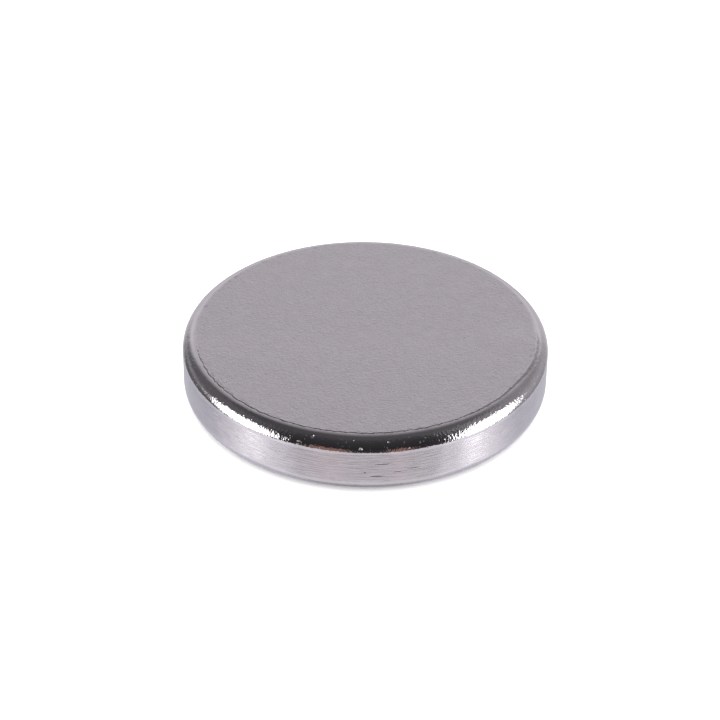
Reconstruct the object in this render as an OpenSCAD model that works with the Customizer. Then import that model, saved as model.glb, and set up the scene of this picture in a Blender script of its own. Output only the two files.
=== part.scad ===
// Disc magnet: one sintered and plated disc, magnetised through its thickness.
// The origin is the centre of the lower pole face, and +Z is the magnetic axis.

/* [Disc] */
// Outside diameter, over the plating
disc_d = 12; // [6:0.5:60]
// Thickness, from one pole face to the other
disc_t = 2; // [1.5:0.25:20]

/* [Rims] */
// Radius that tumbling leaves on the rim of the upper pole face
upper_rim_r = 0.45; // [0.1:0.05:0.7]
// Radius that tumbling leaves on the rim of the lower pole face
lower_rim_r = 0.45; // [0.1:0.05:0.7]

/* [Hidden] */

disc_r = disc_d / 2;
// Fineness of the drawn arcs and turns
arc_fn = 64;
turn_fn = 180;

// A quarter disc that rounds one outer corner, with its centre at (x, z).
// side is 1 for a corner that faces up and -1 for one that faces down.
module rim_quarter(x, z, r, side) {
    translate([x, z])
        intersection() {
            circle(r, $fn = arc_fn);
            translate([0, side > 0 ? 0 : -r]) square(r);
        }
}

// Half of the disc's section, from the axis out to the ground wall.
// The two pole faces end where the rim arcs start, and the wall lies between the arcs.
module half_section() {
    upper_x = disc_r - upper_rim_r;
    lower_x = disc_r - lower_rim_r;
    upper_z = disc_t - upper_rim_r;
    union() {
        translate([0, lower_rim_r]) square([disc_r, upper_z - lower_rim_r]);
        translate([0, upper_z]) square([upper_x, upper_rim_r]);
        square([lower_x, lower_rim_r]);
        rim_quarter(upper_x, upper_z, upper_rim_r, 1);
        rim_quarter(lower_x, lower_rim_r, lower_rim_r, -1);
    }
}

// The magnet: its half section, turned about the magnetic axis.
module disc() {
    color([0.66, 0.64, 0.65])
        rotate_extrude($fn = turn_fn) half_section();
}

disc();
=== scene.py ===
"""Disc magnet: the finished looks of one plated, sintered disc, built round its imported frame."""

import math

import bpy
import numpy as np
from mathutils import Matrix, Vector


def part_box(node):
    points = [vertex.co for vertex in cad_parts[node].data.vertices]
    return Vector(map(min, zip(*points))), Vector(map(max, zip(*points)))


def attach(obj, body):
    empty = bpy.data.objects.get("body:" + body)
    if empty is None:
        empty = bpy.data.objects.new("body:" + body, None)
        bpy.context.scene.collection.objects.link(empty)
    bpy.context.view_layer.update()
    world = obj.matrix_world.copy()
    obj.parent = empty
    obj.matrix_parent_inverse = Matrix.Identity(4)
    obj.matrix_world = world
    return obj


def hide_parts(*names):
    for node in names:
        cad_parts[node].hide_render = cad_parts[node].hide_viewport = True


bl_info = {
    "name": "Disc Magnet",
    "version": (1, 0, 0),
    "blender": (4, 5, 0),
    "location": "View3D > Sidebar > Magnet",
    "description": "Builds a plated disc magnet on its packed frame, and the studio it stands in",
    "category": "Add Mesh",
}

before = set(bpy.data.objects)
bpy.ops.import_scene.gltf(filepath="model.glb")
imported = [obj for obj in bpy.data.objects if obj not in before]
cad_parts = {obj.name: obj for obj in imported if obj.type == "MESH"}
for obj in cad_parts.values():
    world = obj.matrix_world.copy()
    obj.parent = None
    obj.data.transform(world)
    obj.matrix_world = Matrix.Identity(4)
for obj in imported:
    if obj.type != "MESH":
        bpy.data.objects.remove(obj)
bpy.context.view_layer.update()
DISC_LOW, DISC_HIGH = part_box("disc")

MM = 0.001
UM = 0.000001
# The studio light's faint cast, as shares of red, green and blue
CAST = (1.0, 0.975, 1.03)
# Casts of the floor beside the disc, behind it and in the softboxes' two pools of light
SIDE_CAST, BACK_CAST, POOL_CAST = (0.99, 0.99, 1.10), (1.0, 0.99, 1.06), (1.0, 0.98, 1.05)
HAND_COLOUR = (0.30, 0.175, 0.150, 1.0)
WHITE = (1.0, 1.0, 1.0, 1.0)

# What the metal mirrors, as degrees above or below the horizon and the grey there
BACK_STOPS = (
    (0, 0.62),
    (18, 0.66),
    (32, 0.73),
    (38, 0.68),
    (45, 0.44),
    (52, 0.34),
    (59, 0.30),
    (65, 0.24),
    (72, 0.15),
    (80, 0.11),
    (90, 0.09),
)
LEFT_STOPS = ((0, 0.33), (9, 0.18), (18, 0.13), (30, 0.14), (45, 0.13), (56, 0.08), (90, 0.09))
RIGHT_STOPS = ((0, 0.46), (14, 0.40), (30, 0.30), (47, 0.30), (56, 0.15), (72, 0.11), (90, 0.09))
FRONT_STOPS = ((0, 0.030), (36, 0.042), (60, 0.058), (72, 0.085), (90, 0.10))

# Pits on the front of the upper rim: degrees from the front and of lean, half width and half height in mm
PITS = (
    (-15.7, 39.5, 0.070, 0.080),
    (-1.0, 72.0, 0.075, 0.060),
    (7.2, 46.0, 0.030, 0.030),
    (13.4, 76.0, 0.025, 0.025),
    (-3.1, 38.0, 0.022, 0.022),
    (-59.3, 64.8, 0.030, 0.030),
)
# Dark specks on the upper face: x, y and half width in mm
SPECKS = ((-4.63, 1.32, 0.08), (-3.75, 1.03, 0.07), (5.19, 1.01, 0.06))
# Scratches on the front of the wall: degrees from the front, height, half length and half width in mm
SCRATCHES = (
    (5.2, 1.13, 0.27, 0.022),
    (4.0, 0.68, 0.26, 0.022),
    (9.8, 0.81, 0.17, 0.020),
    (14.8, 0.89, 0.25, 0.020),
    (0.4, 0.84, 0.035, 0.050),
)

# Rows of points across a pole face, a rim and the wall, their two ends counted, and the rims' random seed
FACE_ROWS, RIM_ROWS, WALL_ROWS, RIM_SEED = 15, 27, 17, 7

# Heights and depths of the relief in the plating
GRAIN_HEIGHT = 20.0 * UM
FACE_SWELL = 3.0 * UM
FACE_STEP = 21.0 * UM
DENT_HEIGHT = 5.0 * UM
SPECKLE_HEIGHT = 3.0 * UM
RIM_SWELL = 1.2 * UM
LINE_HEIGHT = 2.1 * UM
FINE_LINE_HEIGHT = 1.6 * UM
PIT_DEPTH = 24.0 * UM
NICK_DEPTH = 5.0 * UM
SCRATCH_DEPTH = 6.0 * UM


# --------------------------------------------------------------------------- settings


class MagnetSizes(bpy.types.PropertyGroup):
    """Sizes of the disc, all in metres."""

    radius: bpy.props.FloatProperty(
        name="Radius",
        description="Outside radius, over the plating",
        default=DISC_HIGH.x,
        min=3 * MM,
        max=30 * MM,
        precision=5,
        unit="LENGTH",
    )
    thickness: bpy.props.FloatProperty(
        name="Thickness",
        description="From one pole face to the other",
        default=DISC_HIGH.z - DISC_LOW.z,
        min=1.5 * MM,
        max=20 * MM,
        precision=5,
        unit="LENGTH",
    )
    rim: bpy.props.FloatProperty(
        name="Rim radius",
        description="Radius that tumbling leaves on both rims",
        default=0.45 * MM,
        min=0.1 * MM,
        max=0.7 * MM,
        precision=5,
        unit="LENGTH",
    )
    turns: bpy.props.IntProperty(
        name="Segments",
        description="Faces round the disc",
        default=960,
        min=96,
        max=1000,
    )
    unevenness: bpy.props.FloatProperty(
        name="Unevenness",
        description="How far the tumbled rims wander from a true arc",
        default=1.2 * UM,
        min=0.0,
        max=10 * UM,
        precision=7,
        unit="LENGTH",
    )


class MagnetFinish(bpy.types.PropertyGroup):
    """Colour, gloss and grain of the nickel plating."""

    colour: bpy.props.FloatVectorProperty(
        name="Nickel",
        description="Colour of the plated metal",
        subtype="COLOR",
        size=3,
        default=(0.672, 0.640, 0.660),
        min=0.0,
        max=1.0,
    )
    face_roughness: bpy.props.FloatProperty(
        name="Face roughness",
        description="Roughness of the two matte pole faces",
        default=0.50,
        min=0.0,
        max=1.0,
        subtype="FACTOR",
    )
    rim_roughness: bpy.props.FloatProperty(
        name="Rim roughness",
        description="Roughness of the bright tumbled rims",
        default=0.06,
        min=0.0,
        max=1.0,
        subtype="FACTOR",
    )
    wall_roughness: bpy.props.FloatProperty(
        name="Wall roughness",
        description="Roughness of the ground side wall",
        default=0.18,
        min=0.0,
        max=1.0,
        subtype="FACTOR",
    )
    grain: bpy.props.FloatProperty(
        name="Grain",
        description="Pitch of the fine grain on the pole faces",
        default=0.085 * MM,
        min=0.01 * MM,
        max=1 * MM,
        precision=6,
        unit="LENGTH",
    )


class StudioSettings(bpy.types.PropertyGroup):
    """Camera, floor and lights."""

    elevation: bpy.props.FloatProperty(
        name="Camera elevation",
        description="Angle of the camera above the floor",
        default=math.radians(34.56),
        min=0.0,
        max=math.pi / 2,
        subtype="ANGLE",
    )
    distance: bpy.props.FloatProperty(
        name="Camera distance",
        description="From the camera to the middle of the disc",
        default=67.4 * MM,
        min=10 * MM,
        max=1.0,
        precision=4,
        unit="LENGTH",
    )
    lens: bpy.props.FloatProperty(
        name="Lens",
        description="Focal length, on a sensor 36 mm wide",
        default=101.9,
        min=10.0,
        max=300.0,
        unit="CAMERA",
    )
    floor_colour: bpy.props.FloatVectorProperty(
        name="Floor",
        description="Colour of the plain pale floor",
        subtype="COLOR",
        size=3,
        default=(0.86, 0.86, 0.865),
        min=0.0,
        max=1.0,
    )
    key: bpy.props.FloatProperty(
        name="Softboxes",
        description="Brightness of the two softboxes beside the disc",
        default=2.6,
        min=0.0,
        max=100.0,
    )
    fill: bpy.props.FloatProperty(
        name="Fill",
        description="Strength of the even light from above that whitens the floor",
        default=7.0,
        min=0.0,
        max=100.0,
    )


# --------------------------------------------------------------------------- shader maths


class Field:
    """One shader socket that takes Python's operators. An operation on values adds one Math node."""

    def __init__(self, tree, socket):
        self.tree, self.socket = tree, socket

    def out(self, name):
        """Another output of the same node."""
        return Field(self.tree, self.socket.node.outputs[name])

    def maths(self, operation, *others, clamp=False):
        """A Math node of that operation on this value and the others."""
        return self.tree.node(
            "ShaderNodeMath",
            {"operation": operation, "use_clamp": clamp},
            dict(enumerate((self, *others))),
        )

    def __add__(self, other):
        return self.maths("ADD", other)

    def __radd__(self, other):
        return self.maths("ADD", other)

    def __sub__(self, other):
        return self.maths("SUBTRACT", other)

    def __rsub__(self, other):
        return self.tree.node("ShaderNodeMath", {"operation": "SUBTRACT"}, {0: other, 1: self})

    def __mul__(self, other):
        return self.maths("MULTIPLY", other)

    def __rmul__(self, other):
        return self.maths("MULTIPLY", other)

    def __truediv__(self, other):
        return self.maths("DIVIDE", other)

    def __abs__(self):
        return self.maths("ABSOLUTE")

    def step(self, low, high):
        """0 below low and 1 above high, smooth between; the other way round if low is the greater."""
        return self.tree.node(
            "ShaderNodeMapRange",
            {"interpolation_type": "SMOOTHSTEP"},
            {"Value": self, "From Min": low, "From Max": high},
            output="Result",
        )

    def over(self, low, high):
        """The value's place from low to high, as 0 to 1, cut off outside."""
        return self.tree.node(
            "ShaderNodeMapRange",
            {"interpolation_type": "LINEAR", "clamp": True},
            {"Value": self, "From Min": low, "From Max": high},
            output="Result",
        )


class Tree:
    """The node tree of a material or world, emptied and ready to be built."""

    def __init__(self, owner):
        owner.use_nodes = True
        self.tree = owner.node_tree
        self.tree.nodes.clear()

    def node(self, kind, settings=None, inputs=None, output=0):
        """Adds a node: its settings are set first, then each input is linked or given its value."""
        made = self.tree.nodes.new(kind)
        for name, value in (settings or {}).items():
            if name == "stops":
                self._stops(made.color_ramp, value)
            else:
                setattr(made, name, value)
        for name, value in (inputs or {}).items():
            if isinstance(value, Field):
                self.tree.links.new(value.socket, made.inputs[name])
            else:
                made.inputs[name].default_value = value
        return Field(self, made.outputs[output]) if len(made.outputs) else None

    @staticmethod
    def _stops(ramp, stops):
        """Gives a colour ramp these stops, each a place from 0 to 1 and a colour."""
        while len(ramp.elements) > 1:
            ramp.elements.remove(ramp.elements[-1])
        for n, (place, colour) in enumerate(stops):
            element = ramp.elements[0] if n == 0 else ramp.elements.new(place)
            element.position = place
            element.color = colour

    def mix(self, share, a, b):
        """Colour a where share is 0 and colour b where it is 1."""
        return self.node(
            "ShaderNodeMix",
            {"data_type": "RGBA"},
            {0: share, 6: a, 7: b},
            output=2,
        )

    def noise(self, place, scale, detail=0.0, roughness=0.5, distortion=0.0):
        """Smooth noise from 0 to 1, scale being its cycles in a metre."""
        return self.node(
            "ShaderNodeTexNoise",
            {"noise_dimensions": "3D"},
            {
                "Vector": place,
                "Scale": scale,
                "Detail": detail,
                "Roughness": roughness,
                "Distortion": distortion,
            },
            output="Fac",
        )

    def stretched(self, place, across, along):
        """The place with x and y multiplied by across and z by along."""
        return self.node(
            "ShaderNodeVectorMath",
            {"operation": "MULTIPLY"},
            {0: place, 1: (across, across, along)},
        )


def polar(radius, degrees, height):
    """The point at that radius and angle from the front, positive to the camera's right, and height."""
    a = math.radians(degrees)
    return (radius * math.sin(a), -radius * math.cos(a), height)


def on_rim_at(sizes, degrees, lean):
    """The point of the upper rim at that angle from the front.

    Its lean is 0 degrees where the pole face ends and 90 where the wall begins.
    """
    a = math.radians(lean)
    radius = sizes.radius - sizes.rim + sizes.rim * math.sin(a)
    return polar(radius, degrees, sizes.thickness - sizes.rim + sizes.rim * math.cos(a))


def mark(t, place, centre, width, height):
    """1 at the middle of a small oval mark and 0 outside it.

    Its half sizes are width across and height upwards.
    """
    away = t.node("ShaderNodeVectorMath", {"operation": "SUBTRACT"}, {0: place, 1: centre})
    shares = (1 / width, 1 / width, 1 / height)
    scaled = t.node("ShaderNodeVectorMath", {"operation": "MULTIPLY"}, {0: away, 1: shares})
    return t.node("ShaderNodeVectorMath", {"operation": "LENGTH"}, {0: scaled}, output="Value").step(1.0, 0.2)


class Zones:
    """Where each finish lies on the disc, as shares from 0 to 1.

    The face ends in a ragged step, which is broader and further out on the right and fades away behind. The
    wall ends in an edge that wanders a little.
    """

    def __init__(self, t, place, sizes):
        x = t.node("ShaderNodeSeparateXYZ", None, {0: place}, output="X")
        y, z = x.out("Y"), x.out("Z")
        self.radius = (x * x + y * y).maths("SQRT")
        edge = self.edge = sizes.radius - sizes.rim

        self.broad = x.step(0.45 * edge, 0.90 * edge) * y.step(0.15 * edge, -0.10 * edge)
        self.stepped = y.step(0.05 * edge, -0.35 * edge).maths("MAXIMUM", self.broad)
        ragged = t.noise(place, 1 / (0.22 * MM), 2.0) - 0.5
        outward = (self.broad * x.step(0.86 * edge, edge)) * (0.10 * MM)
        reach = (self.radius - outward - edge) / (1 + 0.9 * self.broad) + edge
        reach = reach + ragged * (1 - 0.6 * self.broad) * (0.10 * MM)
        self.face = reach.step(edge + 0.028 * MM, edge - 0.022 * MM)
        self.grain = reach.step(edge + 0.005 * MM, edge - 0.035 * MM)
        # The lip: a narrow band round the face's edge, at the front and right, glossier than the face. Its
        # darkening in the colour is painted shade in the crease there.
        lip = reach.step(edge - 0.045 * MM, edge - 0.02 * MM) * reach.step(edge + 0.05 * MM, edge + 0.02 * MM)
        self.lip = lip * self.stepped
        self.matte = self.radius.step(edge + 0.21 * MM, edge - 0.03 * MM) * (1 - 0.85 * self.lip)

        low, high = sizes.rim, sizes.thickness - sizes.rim
        level = z + (t.noise(t.stretched(place, 900.0, 900.0), 1.0, 2.0) - 0.5) * (0.05 * MM)
        wall = level.step(low - 0.12 * MM, low) * level.step(high - 0.045 * MM, high - 0.07 * MM)
        self.wall = wall * self.radius.step(sizes.radius - 0.07 * MM, sizes.radius - 0.04 * MM)

        self.rim = 1 - self.face.maths("MAXIMUM", self.wall)
        beyond = abs(level - sizes.thickness / 2) - (sizes.thickness / 2 - sizes.rim)
        dented = self.rim * self.radius.step(edge + 0.10 * MM, edge + 0.26 * MM)
        self.dented = dented * beyond.step(0.0, 0.06 * MM)
        self.dent_share = 0.35 + 0.65 * abs(x).step(0.15 * edge, 0.42 * edge)


class Wear:
    """Small wear on the plating, as shares from 0 to 1: some of it at listed places and the rest from noise.
    """

    def __init__(self, t, place, sizes, zones):
        top, side = sizes.thickness, sizes.radius
        self.pits = sum(
            mark(t, place, on_rim_at(sizes, angle, lean), width * MM, height * MM)
            for angle, lean, width, height in PITS
        )
        self.specks = sum(mark(t, place, (x * MM, y * MM, top), width * MM, 1 * MM) for x, y, width in SPECKS)
        placed = sum(
            mark(t, place, polar(side, angle, level * MM), length * MM, width * MM)
            for angle, level, length, width in SCRATCHES
        )
        faint = t.noise(t.stretched(place, 900.0, 13000.0), 1.0, 1.0).step(0.76, 0.84) * zones.wall
        self.scratches = placed + faint
        self.flecks = t.noise(place, 1 / (0.07 * MM)).step(0.72, 0.78) * zones.dented
        near_edge = zones.radius.step(zones.edge - 0.13 * MM, zones.edge - 0.06 * MM)
        near_edge = near_edge * zones.radius.step(zones.edge + 0.05 * MM, zones.edge)
        self.nicks = t.noise(place, 1 / (0.15 * MM), 1.0).step(0.58, 0.68) * near_edge


def nickel_plate(sizes, finish):
    """Bright nickel over a sintered disc: matte grained faces, a ground wall and tumbled rims."""
    material = bpy.data.materials.new("nickel plate")
    t = Tree(material)
    place = t.node("ShaderNodeTexCoord", output="Object")
    on = Zones(t, place, sizes)
    wear = Wear(t, place, sizes, on)

    # Grain and grinding lines, each from 0 to 1
    grain = t.noise(place, 1 / finish.grain, 2.0, 0.55, 0.6)
    coarse = t.noise(place, 1 / (0.4 * MM), 1.0)
    speckle = t.noise(place, 1 / (0.042 * MM))
    cells = {"Vector": place, "Scale": 1 / (0.075 * MM)}
    dents = t.node("ShaderNodeTexVoronoi", None, cells, output="Distance")
    lines = t.noise(t.stretched(place, 900.0, 26000.0), 1.0, 2.0, 0.5)
    fine_lines = t.noise(t.stretched(place, 1500.0, 56000.0), 1.0, 1.0, 0.5)

    step_height = (1 + 0.9 * on.broad) * on.stepped * FACE_STEP
    face_relief = on.face * ((coarse - 0.5) * FACE_SWELL + step_height)
    face_relief = on.grain * (grain - 0.5) * GRAIN_HEIGHT + face_relief
    dented = dents * on.dent_share * DENT_HEIGHT + (speckle - 0.5) * SPECKLE_HEIGHT
    rim_relief = on.dented * dented + on.rim * (coarse - 0.5) * RIM_SWELL
    wall_relief = on.wall * ((lines - 0.5) * LINE_HEIGHT + (fine_lines - 0.5) * FINE_LINE_HEIGHT)
    worn = wear.pits * PIT_DEPTH + wear.nicks * NICK_DEPTH + wear.scratches * SCRATCH_DEPTH
    height = face_relief + rim_relief + wall_relief - worn
    bump = {"Strength": 1.0, "Distance": 1.0, "Height": height}
    normal = t.node("ShaderNodeBump", None, bump, output="Normal")

    roughness = (
        on.matte * (finish.face_roughness - finish.rim_roughness)
        + on.wall * (finish.wall_roughness - finish.rim_roughness + (lines - 0.5) * 0.10)
        + (wear.pits + wear.flecks).maths("MINIMUM", 1.0) * 0.40
        + finish.rim_roughness
    )
    # Where the pole faces are matte, the base colour is about a quarter lighter than the rims' same nickel:
    # painted light that brightens the faces.
    tone = on.matte * 0.51 + (coarse - 0.5) * 0.24 + (grain - 0.5) * on.face * 0.4
    # Specks, nicks and scratches are wear on the plating; the lip's darkening is painted shade along the
    # face's front edge.
    tone = tone - (wear.specks + wear.nicks) * 0.35 - wear.scratches * 0.5 - on.lip * 0.25
    dark, light = (tuple(c * k for c in finish.colour) + (1.0,) for k in (0.8, 1.3))
    colour = t.mix(tone.maths("ADD", 0.4, clamp=True), dark, light)
    shader = t.node(
        "ShaderNodeBsdfPrincipled",
        None,
        {"Base Color": colour, "Metallic": 1.0, "Roughness": roughness, "Normal": normal},
    )
    t.node("ShaderNodeOutputMaterial", None, {"Surface": shader})
    return material


# --------------------------------------------------------------------------- mesh


def section(sizes):
    """The half section from the upper pole to the lower one, as radii, heights and outward normals.

    It is a straight pole face, a quarter circle, the straight wall, a quarter circle and the other pole face,
    each cut into rows. A face's rows close up outwards as the square root of an even count, and three lie
    close together at its edge.
    """
    radius, thickness, rim = sizes.radius, sizes.thickness, sizes.rim
    edge = radius - rim
    inner = edge * np.sqrt(np.linspace(0.0, 1.0, FACE_ROWS))[1:]
    inner = np.append(inner[:-1], [edge - 0.04 * MM, edge - 0.01 * MM, edge])
    outer = inner[::-1][1:]
    turn = np.linspace(0.0, math.pi / 2, RIM_ROWS)[1:]
    sine, cosine = np.sin(turn), np.cos(turn)
    wall = np.linspace(thickness - rim, rim, WALL_ROWS)[1:]
    # Each stretch as radii, heights, and its normal's share across and upwards
    stretches = (
        (inner, thickness, 0.0, 1.0),
        (edge + rim * sine, thickness - rim + rim * cosine, sine, cosine),
        (radius, wall, 1.0, 0.0),
        (edge + rim * cosine, rim - rim * sine, cosine, -sine),
        (outer, 0.0, 0.0, -1.0),
    )
    return np.concatenate([np.broadcast_arrays(*stretch) for stretch in stretches], axis=1)


def waves(angle, along, seed, count, shortest, longest, radius):
    """A sum of count cosines of angle and distance along the section, scaled to about 1.

    Each has its own length, lean and phase, and makes a whole number of turns round the disc, so the sum
    closes on itself.
    """
    steepest = 1.2
    rng = np.random.default_rng(seed)
    lengths = np.exp(rng.uniform(math.log(shortest), math.log(longest), count))
    leaning = rng.uniform(-steepest, steepest, count)
    total = np.zeros(np.broadcast(angle, along).shape)
    for length, lean, phase in zip(lengths, leaning, rng.uniform(0, 2 * math.pi, count)):
        laps = max(1, round(2 * math.pi * radius * math.cos(lean) / length))
        total += np.cos(laps * angle + 2 * math.pi * math.sin(lean) / length * along + phase)
    return total / math.sqrt(count / 2)


def grid_faces(rows, turns):
    """The faces of a closed grid of rows round an axis, as four-sided ones and triangles of point numbers.

    The points go row by row, and the upper and the lower pole come last.
    """
    row, column = np.meshgrid(np.arange(rows - 1), np.arange(turns), indexing="ij")
    after = (column + 1) % turns
    here, below = row * turns, (row + 1) * turns
    quads = np.stack([here + column, below + column, below + after, here + after], -1).reshape(-1, 4)
    column, after, last = column[0], after[0], (rows - 1) * turns
    upper_pole, lower_pole = np.full(turns, rows * turns), np.full(turns, rows * turns + 1)
    top = np.stack([upper_pole, column, after], -1)
    bottom = np.stack([lower_pole, last + after, last + column], -1)
    return quads, np.concatenate([top, bottom])


def smooth_mesh(name, points, quads, triangles):
    """A smooth mesh of these points and faces."""
    mesh = bpy.data.meshes.new(name)
    mesh.vertices.add(len(points))
    mesh.vertices.foreach_set("co", points.astype(np.float32).ravel())
    corners = np.concatenate([quads.ravel(), triangles.ravel()]).astype(np.int32)
    counts = np.repeat([4, 3], [len(quads), len(triangles)]).astype(np.int32)
    starts = np.concatenate([[0], np.cumsum(counts)[:-1]]).astype(np.int32)
    mesh.loops.add(len(corners))
    mesh.loops.foreach_set("vertex_index", corners)
    mesh.polygons.add(len(counts))
    mesh.polygons.foreach_set("loop_start", starts)
    mesh.polygons.foreach_set("loop_total", counts)
    mesh.update(calc_edges=True)
    mesh.validate()
    mesh.shade_smooth()
    return mesh


def disc_mesh(name, sizes):
    """The section carried round the axis, as one closed grid with a point at each pole.

    A point is (radius sin a, -radius cos a, height), a being the angle from the front. The unevenness and a
    sum of waves move it inwards along its normal, on the rims only and never outwards.
    """
    radii, heights, across, up = section(sizes)[:, :, None]
    angle = np.linspace(0.0, 2 * math.pi, sizes.turns, endpoint=False)[None, :]
    step = np.hypot(np.diff(radii[:, 0], prepend=0.0), np.diff(heights[:, 0], prepend=sizes.thickness))
    along = np.cumsum(step)[:, None]
    # 1 halfway round a rim and 0 on the faces and the wall
    on_rim = 4 * across**2 * up**2
    crest = 1.5
    wobble = waves(angle, along, RIM_SEED, 60, 0.25 * MM, 1.6 * MM, sizes.radius)
    depth = on_rim * sizes.unevenness * (crest - np.clip(wobble, -crest, crest)) / crest
    radius = radii - depth * across
    height = heights - depth * up
    grid = np.stack([radius * np.sin(angle), -radius * np.cos(angle), height], -1).reshape(-1, 3)
    points = np.vstack([grid, [[0.0, 0.0, sizes.thickness], [0.0, 0.0, 0.0]]])
    return smooth_mesh(name, points, *grid_faces(len(radii), sizes.turns))


# --------------------------------------------------------------------------- studio


def direction(azimuth, elevation):
    """The unit vector towards that azimuth, from the camera's side and positive to its right, and elevation.

    Both are in degrees.
    """
    a, e = math.radians(azimuth), math.radians(elevation)
    return Vector((math.sin(a) * math.cos(e), -math.cos(a) * math.cos(e), math.sin(e)))


def tinted(grey, cast):
    """A grey with a colour cast, as a colour socket takes it."""
    return tuple(grey * k for k in cast) + (1.0,)


def by_height(t, stops, share):
    """The tone at that share of the way from the horizon to overhead, from pairs of degrees and grey."""
    stops = [(degrees / 90, tinted(grey, CAST)) for degrees, grey in stops]
    return t.node("ShaderNodeValToRGB", {"stops": stops}, {0: share})


def oval(azimuth, height, centre, size):
    """1 in the middle of an oval of directions and 0 outside it, by its centre and half sizes in degrees."""
    across = (azimuth - centre[0]) * (1 / size[0])
    above = (height - centre[1]) * (1 / size[1])
    return (across * across + above * above).step(1.0, 0.45)


def room_tones(t, azimuth, height):
    """The room: a pale low back, grey sides, a dark camera's side and a hand left and right of the camera.

    It is the same below the horizon as above, as over a polished table.
    """
    away = abs(azimuth)
    up = abs(height).over(0.0, 90.0)
    drooping = (abs(height) + (170.0 - away).maths("MAXIMUM", 0.0) * 0.4).over(0.0, 90.0)
    sides = t.mix(azimuth.step(-20.0, 20.0), by_height(t, LEFT_STOPS, up), by_height(t, RIGHT_STOPS, up))
    room = t.mix(away.step(42.0, 80.0), by_height(t, FRONT_STOPS, up), sides)
    room = t.mix(away.step(135.0, 154.0), room, by_height(t, BACK_STOPS, drooping))
    left_hand = oval(azimuth, height, (-21.0, -22.0), (15.0, 20.0))
    right_hand = oval(azimuth, height, (21.0, -20.0), (8.5, 18.5))
    return t.mix(left_hand.maths("MAXIMUM", right_hand), room, HAND_COLOUR)


def floor_tones(t, azimuth, height):
    """The floor: a tone before, beside and behind the disc, two bright pools, and shade straight below."""
    away = abs(azimuth)
    floor = t.mix(away.step(35.0, 110.0), tinted(0.80, CAST), tinted(0.68, SIDE_CAST))
    floor = t.mix(away.step(140.0, 170.0), floor, tinted(0.57, BACK_CAST))
    pool = away.step(42.0, 54.0) * away.step(118.0, 84.0) * height.step(-52.0, -41.0)
    floor = t.mix(pool, floor, tinted(1.05, POOL_CAST))
    return t.mix(height.step(-55.0, -88.0), floor, tinted(0.36, CAST))


def studio_world(scene):
    """What the metal mirrors besides the softboxes: the room, and at steep angles downwards the floor.

    To the camera itself it is plain white.
    """
    world = bpy.data.worlds.new("studio")
    scene.world = world
    t = Tree(world)
    way = t.node("ShaderNodeTexCoord", output="Generated")
    x = t.node("ShaderNodeSeparateXYZ", None, {0: way}, output="X")
    y, z = x.out("Y"), x.out("Z")
    height = z.maths("MINIMUM", 1.0).maths("MAXIMUM", -1.0).maths("ARCSINE") * (180 / math.pi)
    azimuth = x.maths("ARCTAN2", -1 * y) * (180 / math.pi)
    below = height.step(-31.5, -36.0)
    mirrored = t.mix(below, room_tones(t, azimuth, height), floor_tones(t, azimuth, height))
    by_camera = t.node("ShaderNodeLightPath", output="Is Camera Ray")
    shown = t.mix(by_camera, mirrored, WHITE)
    light = t.node("ShaderNodeBackground", None, {"Color": shown, "Strength": 1.0})
    t.node("ShaderNodeOutputWorld", None, {"Surface": light})


def softbox(name, azimuth, elevation, lean, size, radiance):
    """An evenly bright oval, size wide and high, that faces the disc.

    Its upper end leans by that many degrees away from the camera's side. Its power is radiance times area
    times pi.
    """
    distance, (width, height) = 0.25, size
    data = bpy.data.lights.new(name, "AREA")
    data.shape = "ELLIPSE"
    data.size, data.size_y = width, height
    area = width * height * math.pi / 4
    data.energy = radiance * area * math.pi
    lamp = bpy.data.objects.new(name, data)
    way = direction(azimuth, elevation)
    facing = way.to_track_quat("Z", "Y").to_matrix().to_4x4()
    turned = Matrix.Rotation(math.radians(math.copysign(lean, -azimuth)), 4, "Z")
    lamp.matrix_world = Matrix.Translation(way * distance) @ facing @ turned
    lamp.visible_camera = False
    bpy.context.scene.collection.objects.link(lamp)


def aimed_camera(studio, middle):
    """A camera at that elevation and distance from middle, with a slight roll.

    The disc lies a touch right of the centre of its view.
    """
    roll = math.radians(0.75)
    beside, above = math.radians(0.148), math.radians(0.087)
    ahead = -direction(0.0, math.degrees(studio.elevation))
    right = Vector((1.0, 0.0, 0.0))
    up = right.cross(ahead)
    right, up = right * math.cos(roll) + up * math.sin(roll), up * math.cos(roll) - right * math.sin(roll)
    aim = (ahead - right * math.tan(beside) - up * math.tan(above)).normalized()
    right = (right - aim * right.dot(aim)).normalized()
    up = right.cross(aim)
    data = bpy.data.cameras.new("camera")
    data.sensor_width, data.lens = 36.0, studio.lens
    data.clip_start, data.clip_end = 1 * MM, 10.0
    camera = bpy.data.objects.new("camera", data)
    turned = Matrix((right, up, -aim)).transposed().to_4x4()
    camera.matrix_world = Matrix.Translation(middle - ahead * studio.distance) @ turned
    bpy.context.scene.collection.objects.link(camera)
    bpy.context.scene.camera = camera


def floor_paint(colour):
    """A plain pale board with a faint sheen."""
    material = bpy.data.materials.new("pale floor")
    t = Tree(material)
    shader = t.node(
        "ShaderNodeBsdfPrincipled",
        None,
        {"Base Color": (*colour, 1.0), "Roughness": 0.45},
    )
    t.node("ShaderNodeOutputMaterial", None, {"Surface": shader})
    return material


# --------------------------------------------------------------------------- operators


class MAGNET_OT_disc(bpy.types.Operator):
    """Build the plated disc in place of its frame solid"""

    bl_idname = "magnet.disc"
    bl_label = "Disc"
    bl_options = {"REGISTER", "UNDO"}

    def execute(self, context):
        sizes, finish = context.scene.magnet_sizes, context.scene.magnet_finish
        if sizes.thickness <= 2 * sizes.rim:
            raise ValueError("the rims leave no wall between them")
        disc = bpy.data.objects.new("disc_body", disc_mesh("disc_body", sizes))
        context.scene.collection.objects.link(disc)
        disc.data.materials.append(nickel_plate(sizes, finish))
        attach(disc, "root")
        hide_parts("disc")
        return {"FINISHED"}


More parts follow.
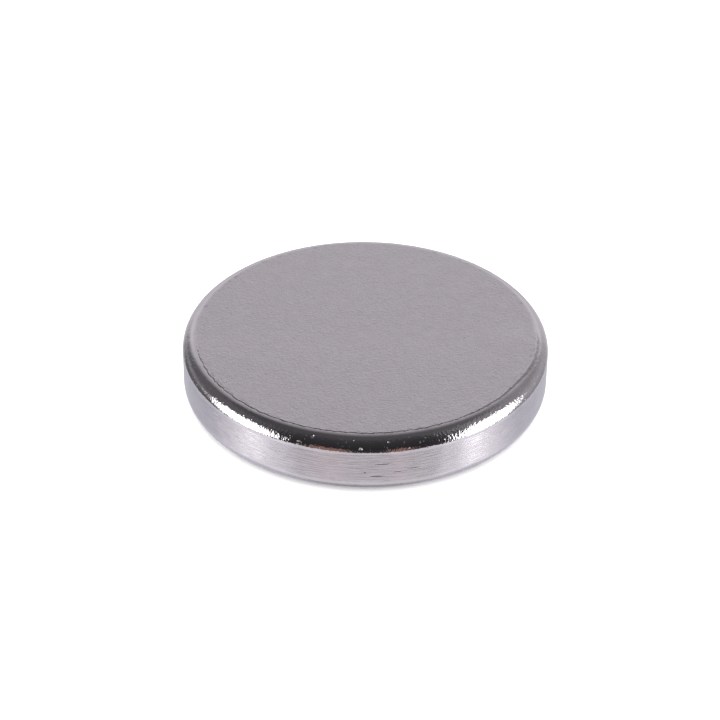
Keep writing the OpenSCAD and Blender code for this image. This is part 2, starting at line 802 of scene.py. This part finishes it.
class MAGNET_OT_studio(bpy.types.Operator):
    """Build the floor, the lights and the camera"""

    bl_idname = "magnet.studio"
    bl_label = "Studio"
    bl_options = {"REGISTER", "UNDO"}

    def execute(self, context):
        scene, studio = context.scene, context.scene.magnet_studio
        scene.view_settings.view_transform = "Standard"
        half = 1.5
        mesh = bpy.data.meshes.new("floor")
        corners = np.array([[-1, -1, 0], [1, -1, 0], [1, 1, 0], [-1, 1, 0]], float) * half
        mesh.from_pydata(corners.tolist(), [], [(0, 1, 2, 3)])
        mesh.materials.append(floor_paint(studio.floor_colour))
        floor = bpy.data.objects.new("floor", mesh)
        floor.visible_glossy = False
        floor.visible_shadow = False
        scene.collection.objects.link(floor)
        studio_world(scene)
        softbox("softbox left", -73.0, -4.0, 15.0, (0.205, 0.270), studio.key)
        softbox("softbox right", 75.5, -0.5, 16.0, (0.195, 0.327), studio.key)
        data = bpy.data.lights.new("fill", "SUN")
        data.energy, data.angle = studio.fill, math.radians(150.0)
        fill = bpy.data.objects.new("fill", data)
        fill.visible_glossy = False
        scene.collection.objects.link(fill)
        middle = Vector((0.0, 0.0, context.scene.magnet_sizes.thickness / 2))
        aimed_camera(studio, middle)
        return {"FINISHED"}


class MAGNET_PT_parts(bpy.types.Panel):
    """Lists what can be built, with its settings"""

    bl_idname = "MAGNET_PT_parts"
    bl_label = "Disc Magnet"
    bl_space_type = "VIEW_3D"
    bl_region_type = "UI"
    bl_category = "Magnet"

    def draw(self, context):
        scene = context.scene
        for group, operator in (
            (scene.magnet_sizes, None),
            (scene.magnet_finish, MAGNET_OT_disc),
            (scene.magnet_studio, MAGNET_OT_studio),
        ):
            box = self.layout.box()
            for name in group.__annotations__:
                box.prop(group, name)
            if operator:
                box.operator(operator.bl_idname)


CLASSES = (
    MagnetSizes,
    MagnetFinish,
    StudioSettings,
    MAGNET_OT_disc,
    MAGNET_OT_studio,
    MAGNET_PT_parts,
)


def register():
    for cls in CLASSES:
        bpy.utils.register_class(cls)
    bpy.types.Scene.magnet_sizes = bpy.props.PointerProperty(type=MagnetSizes)
    bpy.types.Scene.magnet_finish = bpy.props.PointerProperty(type=MagnetFinish)
    bpy.types.Scene.magnet_studio = bpy.props.PointerProperty(type=StudioSettings)


def unregister():
    del bpy.types.Scene.magnet_studio
    del bpy.types.Scene.magnet_finish
    del bpy.types.Scene.magnet_sizes
    for cls in reversed(CLASSES):
        bpy.utils.unregister_class(cls)


def main():
    register()
    bpy.ops.magnet.disc()
    bpy.ops.magnet.studio()


if __name__ == "__main__":
    main()
